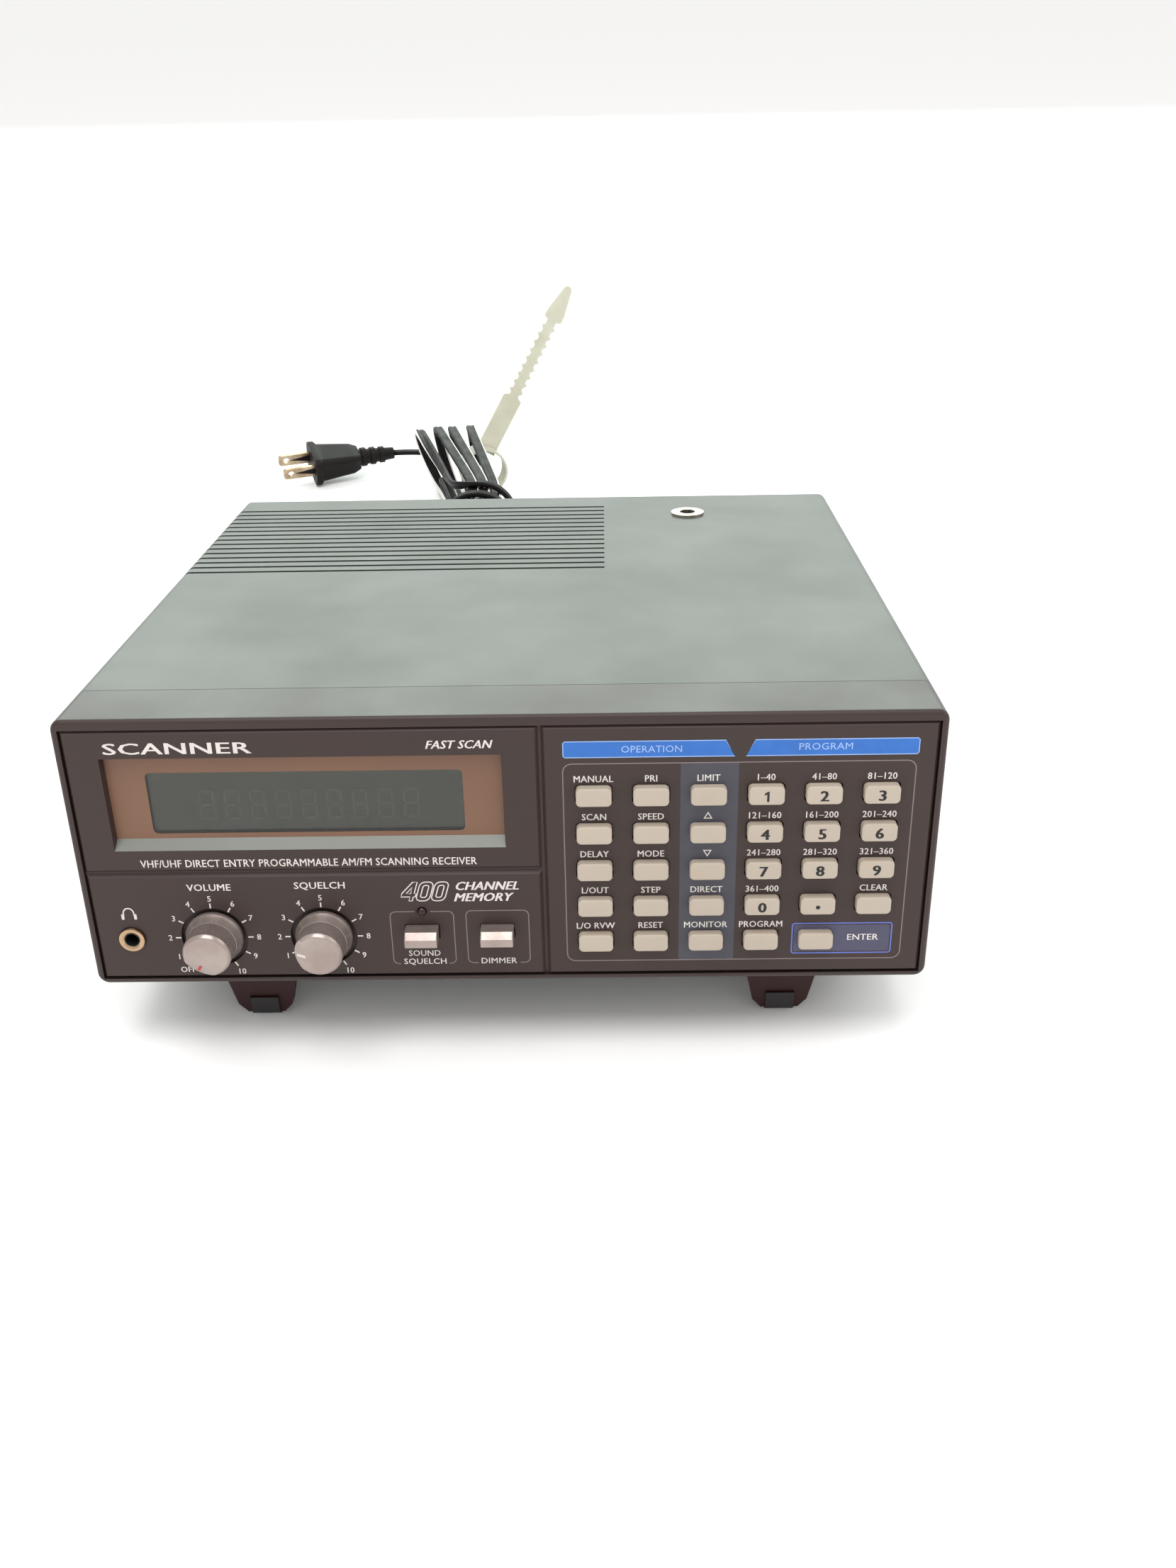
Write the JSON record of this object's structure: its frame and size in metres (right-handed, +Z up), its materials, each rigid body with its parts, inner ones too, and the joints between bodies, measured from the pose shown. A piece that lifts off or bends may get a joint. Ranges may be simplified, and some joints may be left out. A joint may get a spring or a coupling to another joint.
{
  "type": "police scanner",
  "caption": "Desktop base scanning receiver with display, keypad, two knobs and push buttons, standing on folding front legs, with a folded mains cord and two-blade plug.",
  "frame": {"origin": "on the table, under the centre of the box round the receiver without its cord", "axes": "+Z up from the table, +X to the right of someone facing the front panel, +Y from the front panel to the back; the case leans back 5.2 degrees on its front legs"},
  "size_m": [0.2632, 0.5002, 0.1095],
  "materials": {
    "case_plastic": "fine grained, satin dark grey-green",
    "bezel_plastic": "fine grained, satin dark grey",
    "panel_plastic": "fine grained, warm dark grey, printed in off-white and blue",
    "key_plastic": "satin beige, black numerals",
    "silver_finish": "satin silver, fine turned lines",
    "leg_plastic": "fine grained black-brown",
    "foot_rubber": "matt black",
    "back_steel": "semi-matt black paint",
    "nickel": "nickel plated brass",
    "zinc_screw": "dark zinc plate",
    "lamp_red": "clear dark red, unlit",
    "window_clear": "clear acrylic with a bronze printed mask",
    "display_glass": "unlit olive-grey liquid crystal glass in a black frame",
    "board_laminate": "solder-masked glass-epoxy",
    "component_black": "moulded black",
    "tin_plate": "dull tin plate",
    "core_steel": "varnished laminations and winding",
    "speaker_cone": "black paper cone in a steel basket",
    "cord_black": "satin black vinyl, one conductor with a white stripe",
    "plug_black": "satin black moulded vinyl, plated blades",
    "tie_nylon": "translucent natural nylon"
  },
  "bodies": {
    "receiver": {"top_cover": "case_plastic", "bottom_case": "case_plastic", "front_bezel": "bezel_plastic", "front_panel": "panel_plastic", "rear_panel": "back_steel", "display_lens": "window_clear", "lcd_module": "display_glass", "keypad_board": "board_laminate", "front_board_parts": "component_black", "headphone_socket": "nickel", "signal_led": "lamp_red", "main_board": "board_laminate", "tuner_shield": "tin_plate", "power_transformer": "core_steel", "speaker": "speaker_cone", "rear_sockets": "nickel", "antenna_bush": "nickel", "case_screws": "zinc_screw", "rear_feet": "foot_rubber", "cord_grommet": "foot_rubber", "power_cord_lead": "cord_black", "cord_hank": "cord_black", "power_cord_tail": "cord_black", "power_plug": "plug_black", "tie_strap": "tie_nylon"},
    "key_manual": {"key_manual": "key_plastic"},
    "key_scan": {"key_scan": "key_plastic"},
    "key_delay": {"key_delay": "key_plastic"},
    "key_lockout": {"key_lockout": "key_plastic"},
    "key_lockout_review": {"key_lockout_review": "key_plastic"},
    "key_priority": {"key_priority": "key_plastic"},
    "key_speed": {"key_speed": "key_plastic"},
    "key_mode": {"key_mode": "key_plastic"},
    "key_step": {"key_step": "key_plastic"},
    "key_reset": {"key_reset": "key_plastic"},
    "key_limit": {"key_limit": "key_plastic"},
    "key_up": {"key_up": "key_plastic"},
    "key_down": {"key_down": "key_plastic"},
    "key_direct": {"key_direct": "key_plastic"},
    "key_monitor": {"key_monitor": "key_plastic"},
    "key_1": {"key_1": "key_plastic"},
    "key_4": {"key_4": "key_plastic"},
    "key_7": {"key_7": "key_plastic"},
    "key_0": {"key_0": "key_plastic"},
    "key_program": {"key_program": "key_plastic"},
    "key_2": {"key_2": "key_plastic"},
    "key_5": {"key_5": "key_plastic"},
    "key_8": {"key_8": "key_plastic"},
    "key_point": {"key_point": "key_plastic"},
    "key_enter": {"key_enter": "key_plastic"},
    "key_3": {"key_3": "key_plastic"},
    "key_6": {"key_6": "key_plastic"},
    "key_9": {"key_9": "key_plastic"},
    "key_clear": {"key_clear": "key_plastic"},
    "sound_squelch_button": {"sound_squelch_button": "silver_finish"},
    "dimmer_button": {"dimmer_button": "silver_finish"},
    "volume_knob": {"volume_knob": "silver_finish"},
    "squelch_knob": {"squelch_knob": "silver_finish"},
    "left_leg": {"left_leg": "leg_plastic"},
    "right_leg": {"right_leg": "leg_plastic"}
  },
  "joints": [
    {"name": "key_manual_press", "type": "slide", "parent": "receiver", "child": "key_manual", "axis": [0, 0.9958, -0.0911], "range_m": [0, 0.0008], "stiffness_N_per_m": 300, "springref_m": -0.0005},
    {"name": "key_scan_press", "type": "slide", "parent": "receiver", "child": "key_scan", "axis": [0, 0.9958, -0.0911], "range_m": [0, 0.0008], "stiffness_N_per_m": 300, "springref_m": -0.0005},
    {"name": "key_delay_press", "type": "slide", "parent": "receiver", "child": "key_delay", "axis": [0, 0.9958, -0.0911], "range_m": [0, 0.0008], "stiffness_N_per_m": 300, "springref_m": -0.0005},
    {"name": "key_lockout_press", "type": "slide", "parent": "receiver", "child": "key_lockout", "axis": [0, 0.9958, -0.0911], "range_m": [0, 0.0008], "stiffness_N_per_m": 300, "springref_m": -0.0005},
    {"name": "key_lockout_review_press", "type": "slide", "parent": "receiver", "child": "key_lockout_review", "axis": [0, 0.9958, -0.0911], "range_m": [0, 0.0008], "stiffness_N_per_m": 300, "springref_m": -0.0005},
    {"name": "key_priority_press", "type": "slide", "parent": "receiver", "child": "key_priority", "axis": [0, 0.9958, -0.0911], "range_m": [0, 0.0008], "stiffness_N_per_m": 300, "springref_m": -0.0005},
    {"name": "key_speed_press", "type": "slide", "parent": "receiver", "child": "key_speed", "axis": [0, 0.9958, -0.0911], "range_m": [0, 0.0008], "stiffness_N_per_m": 300, "springref_m": -0.0005},
    {"name": "key_mode_press", "type": "slide", "parent": "receiver", "child": "key_mode", "axis": [0, 0.9958, -0.0911], "range_m": [0, 0.0008], "stiffness_N_per_m": 300, "springref_m": -0.0005},
    {"name": "key_step_press", "type": "slide", "parent": "receiver", "child": "key_step", "axis": [0, 0.9958, -0.0911], "range_m": [0, 0.0008], "stiffness_N_per_m": 300, "springref_m": -0.0005},
    {"name": "key_reset_press", "type": "slide", "parent": "receiver", "child": "key_reset", "axis": [0, 0.9958, -0.0911], "range_m": [0, 0.0008], "stiffness_N_per_m": 300, "springref_m": -0.0005},
    {"name": "key_limit_press", "type": "slide", "parent": "receiver", "child": "key_limit", "axis": [0, 0.9958, -0.0911], "range_m": [0, 0.0008], "stiffness_N_per_m": 300, "springref_m": -0.0005},
    {"name": "key_up_press", "type": "slide", "parent": "receiver", "child": "key_up", "axis": [0, 0.9958, -0.0911], "range_m": [0, 0.0008], "stiffness_N_per_m": 300, "springref_m": -0.0005},
    {"name": "key_down_press", "type": "slide", "parent": "receiver", "child": "key_down", "axis": [0, 0.9958, -0.0911], "range_m": [0, 0.0008], "stiffness_N_per_m": 300, "springref_m": -0.0005},
    {"name": "key_direct_press", "type": "slide", "parent": "receiver", "child": "key_direct", "axis": [0, 0.9958, -0.0911], "range_m": [0, 0.0008], "stiffness_N_per_m": 300, "springref_m": -0.0005},
    {"name": "key_monitor_press", "type": "slide", "parent": "receiver", "child": "key_monitor", "axis": [0, 0.9958, -0.0911], "range_m": [0, 0.0008], "stiffness_N_per_m": 300, "springref_m": -0.0005},
    {"name": "key_1_press", "type": "slide", "parent": "receiver", "child": "key_1", "axis": [0, 0.9958, -0.0911], "range_m": [0, 0.0008], "stiffness_N_per_m": 300, "springref_m": -0.0005},
    {"name": "key_4_press", "type": "slide", "parent": "receiver", "child": "key_4", "axis": [0, 0.9958, -0.0911], "range_m": [0, 0.0008], "stiffness_N_per_m": 300, "springref_m": -0.0005},
    {"name": "key_7_press", "type": "slide", "parent": "receiver", "child": "key_7", "axis": [0, 0.9958, -0.0911], "range_m": [0, 0.0008], "stiffness_N_per_m": 300, "springref_m": -0.0005},
    {"name": "key_0_press", "type": "slide", "parent": "receiver", "child": "key_0", "axis": [0, 0.9958, -0.0911], "range_m": [0, 0.0008], "stiffness_N_per_m": 300, "springref_m": -0.0005},
    {"name": "key_program_press", "type": "slide", "parent": "receiver", "child": "key_program", "axis": [0, 0.9958, -0.0911], "range_m": [0, 0.0008], "stiffness_N_per_m": 300, "springref_m": -0.0005},
    {"name": "key_2_press", "type": "slide", "parent": "receiver", "child": "key_2", "axis": [0, 0.9958, -0.0911], "range_m": [0, 0.0008], "stiffness_N_per_m": 300, "springref_m": -0.0005},
    {"name": "key_5_press", "type": "slide", "parent": "receiver", "child": "key_5", "axis": [0, 0.9958, -0.0911], "range_m": [0, 0.0008], "stiffness_N_per_m": 300, "springref_m": -0.0005},
    {"name": "key_8_press", "type": "slide", "parent": "receiver", "child": "key_8", "axis": [0, 0.9958, -0.0911], "range_m": [0, 0.0008], "stiffness_N_per_m": 300, "springref_m": -0.0005},
    {"name": "key_point_press", "type": "slide", "parent": "receiver", "child": "key_point", "axis": [0, 0.9958, -0.0911], "range_m": [0, 0.0008], "stiffness_N_per_m": 300, "springref_m": -0.0005},
    {"name": "key_enter_press", "type": "slide", "parent": "receiver", "child": "key_enter", "axis": [0, 0.9958, -0.0911], "range_m": [0, 0.0008], "stiffness_N_per_m": 300, "springref_m": -0.0005},
    {"name": "key_3_press", "type": "slide", "parent": "receiver", "child": "key_3", "axis": [0, 0.9958, -0.0911], "range_m": [0, 0.0008], "stiffness_N_per_m": 300, "springref_m": -0.0005},
    {"name": "key_6_press", "type": "slide", "parent": "receiver", "child": "key_6", "axis": [0, 0.9958, -0.0911], "range_m": [0, 0.0008], "stiffness_N_per_m": 300, "springref_m": -0.0005},
    {"name": "key_9_press", "type": "slide", "parent": "receiver", "child": "key_9", "axis": [0, 0.9958, -0.0911], "range_m": [0, 0.0008], "stiffness_N_per_m": 300, "springref_m": -0.0005},
    {"name": "key_clear_press", "type": "slide", "parent": "receiver", "child": "key_clear", "axis": [0, 0.9958, -0.0911], "range_m": [0, 0.0008], "stiffness_N_per_m": 300, "springref_m": -0.0005},
    {"name": "sound_squelch_button_press", "type": "slide", "parent": "receiver", "child": "sound_squelch_button", "axis": [0, 0.9958, -0.0911], "range_m": [0, 0.0025], "stiffness_N_per_m": 300, "springref_m": -0.0008},
    {"name": "dimmer_button_press", "type": "slide", "parent": "receiver", "child": "dimmer_button", "axis": [0, 0.9958, -0.0911], "range_m": [0, 0.0025], "stiffness_N_per_m": 300, "springref_m": -0.0008},
    {"name": "volume_knob_turn", "type": "hinge", "parent": "receiver", "child": "volume_knob", "pos_m": [-0.0759, -0.10772, 0.03669], "axis": [0, 0.9958, -0.0911], "range_deg": [0, 300]},
    {"name": "squelch_knob_turn", "type": "hinge", "parent": "receiver", "child": "squelch_knob", "pos_m": [-0.0475, -0.10772, 0.03669], "axis": [0, 0.9958, -0.0911], "range_deg": [-55, 245]},
    {"name": "left_leg_fold", "type": "hinge", "parent": "receiver", "child": "left_leg", "pos_m": [-0.0697, -0.0933, 0.0186], "axis": [1, 0, 0], "range_deg": [0, 81]},
    {"name": "right_leg_fold", "type": "hinge", "parent": "receiver", "child": "right_leg", "pos_m": [0.0731, -0.0933, 0.0186], "axis": [1, 0, 0], "range_deg": [0, 81]}
  ]
}
